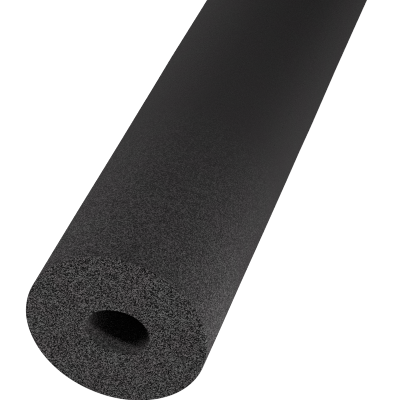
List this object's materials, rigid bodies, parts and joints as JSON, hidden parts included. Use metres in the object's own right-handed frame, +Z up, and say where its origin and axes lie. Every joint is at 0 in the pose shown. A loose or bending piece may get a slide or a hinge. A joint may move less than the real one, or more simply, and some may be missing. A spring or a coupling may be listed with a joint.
{
  "type": "pipe insulation lagging",
  "caption": "Straight, unslit tube of black closed-cell rubber foam with a bore right through, lying settled to a slight oval. It is pushed over a pipe to insulate it.",
  "frame": {"origin": "on the floor, under the middle of the tube's length", "axes": "+Y along the bore, away from the end that the picture shows; +Z up, square to the floor that the tube lies on"},
  "size_m": [0.0764, 1, 0.0715],
  "materials": {
    "rubber_foam": "matt closed-cell foam, with a finely stippled skin outside and open cut cells on the end faces"
  },
  "bodies": {
    "root": {"foam_tube": "rubber_foam"}
  },
  "joints": []
}
